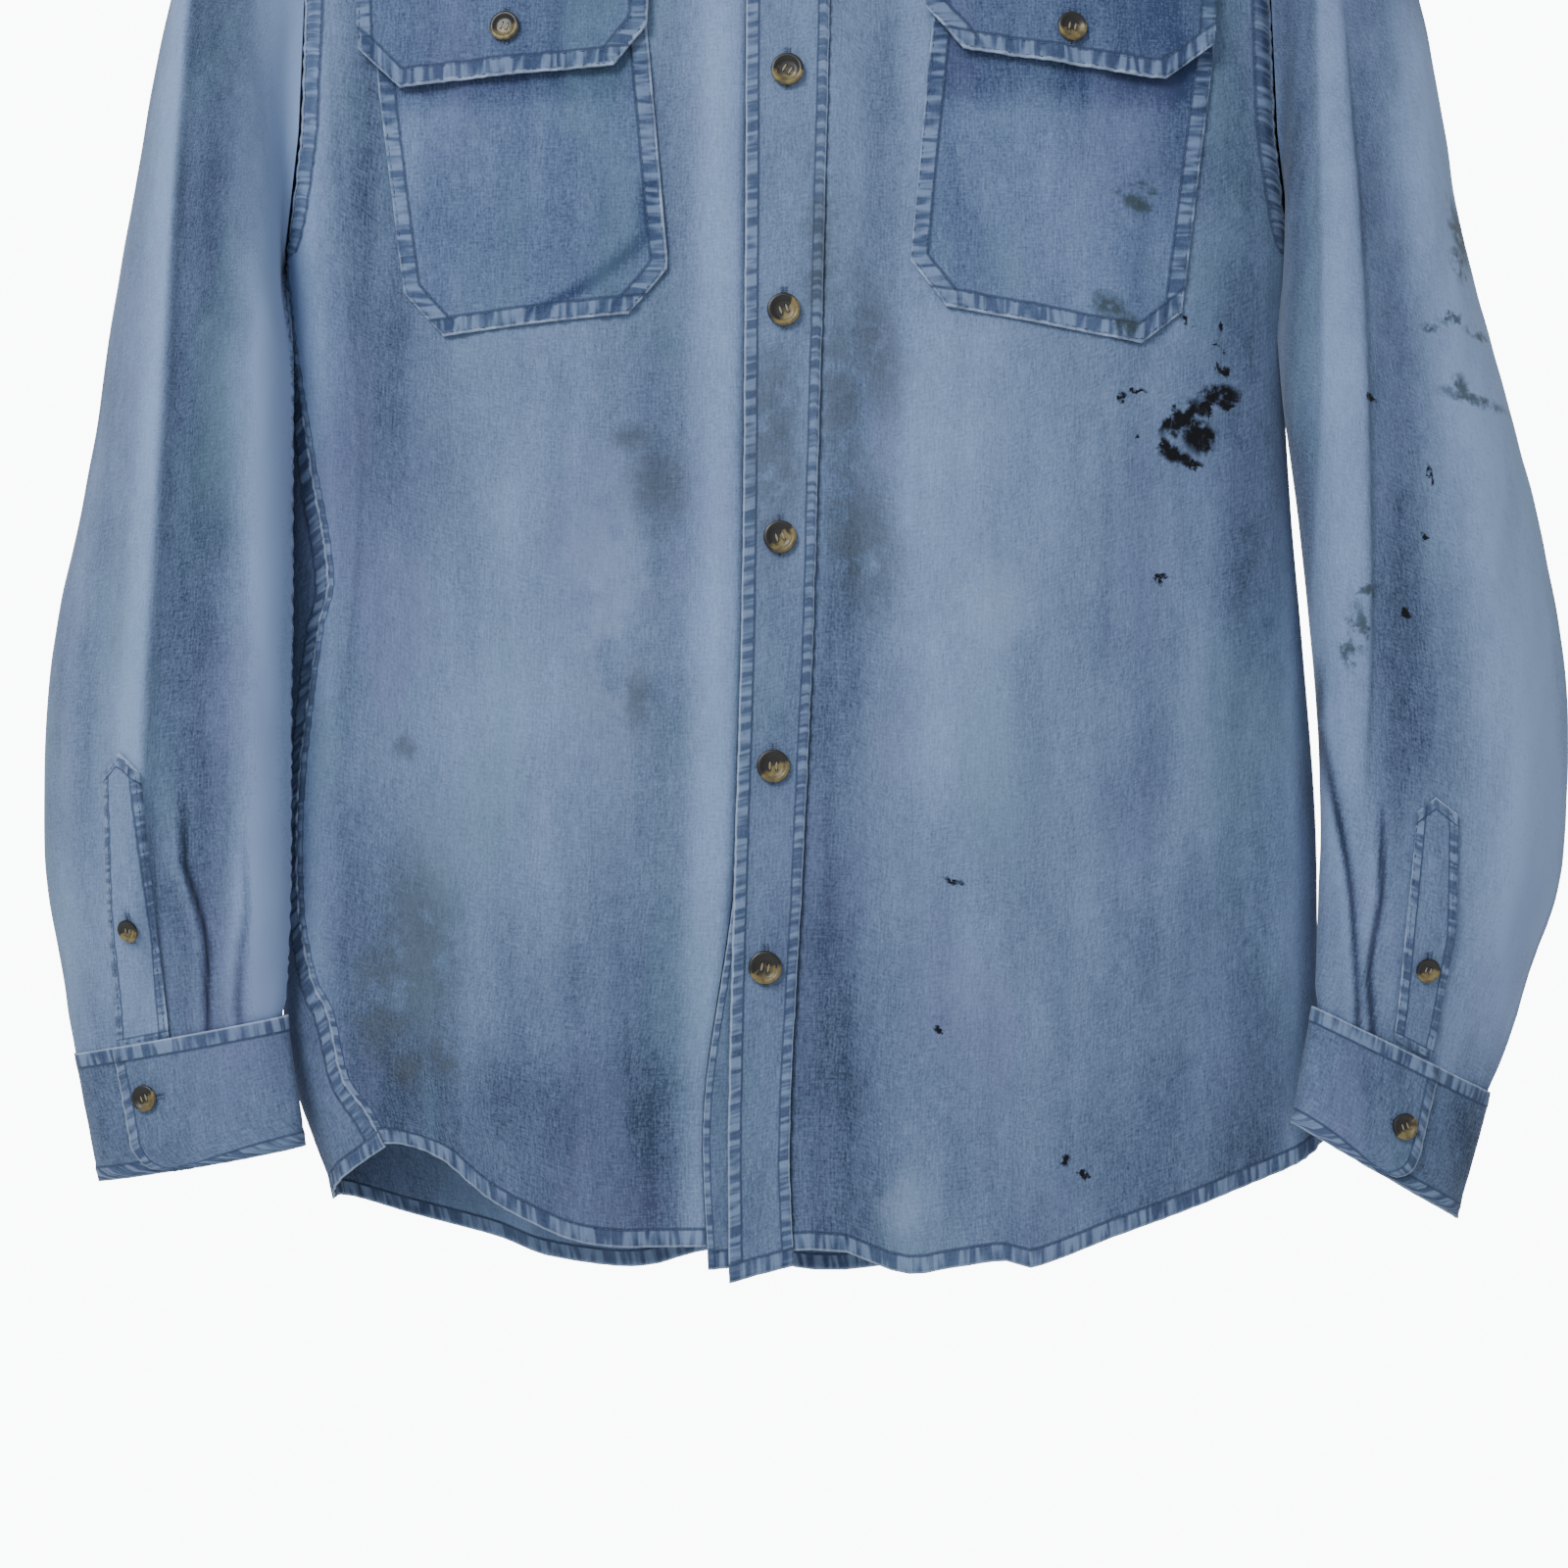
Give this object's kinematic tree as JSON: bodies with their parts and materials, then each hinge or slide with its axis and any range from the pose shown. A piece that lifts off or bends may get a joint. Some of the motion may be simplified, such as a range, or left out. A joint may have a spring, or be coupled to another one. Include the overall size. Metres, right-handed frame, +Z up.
{
  "type": "denim work shirt on a hanger",
  "caption": "Long-sleeved men's denim work shirt with flap pockets, buttoned up and hung flat on a plain hanger, washed out and stained.",
  "frame": {"origin": "inside top of the hanger's hook, where it bears on the rail or nail that holds it", "axes": "+X to the right of someone facing the shirt's front, +Y from front to back, +Z up"},
  "size_m": [0.7138, 0.1235, 0.9095],
  "materials": {
    "denim": "washed light blue work-shirt denim, fine slubby weave",
    "denim_doubled": "the same denim doubled and top-stitched, puckered and worn pale at the edges",
    "horn_button": "marbled brown imitation horn, semi-gloss",
    "hanger_wood": "plain lacquered wood",
    "hook_wire": "plated steel wire"
  },
  "bodies": {
    "root": {"back": "denim", "button_band": "denim_doubled", "collar": "denim_doubled", "collar_button": "horn_button", "collar_stand": "denim_doubled", "cuff_button_left": "horn_button", "cuff_button_right": "horn_button", "cuff_left": "denim_doubled", "cuff_right": "denim_doubled", "flap_button_left": "horn_button", "flap_button_right": "horn_button", "flap_left": "denim_doubled", "flap_right": "denim_doubled", "front_button_1": "horn_button", "front_button_2": "horn_button", "front_button_3": "horn_button", "front_button_4": "horn_button", "front_button_5": "horn_button", "front_button_6": "horn_button", "front_left": "denim", "front_right": "denim", "hanger_bar": "hanger_wood", "hanger_hook": "hook_wire", "placket": "denim_doubled", "pocket_left": "denim_doubled", "pocket_right": "denim_doubled", "sleeve_left": "denim", "sleeve_placket_button_left": "horn_button", "sleeve_placket_button_right": "horn_button", "sleeve_placket_left": "denim_doubled", "sleeve_placket_right": "denim_doubled", "sleeve_right": "denim", "yoke": "denim"}
  },
  "joints": []
}
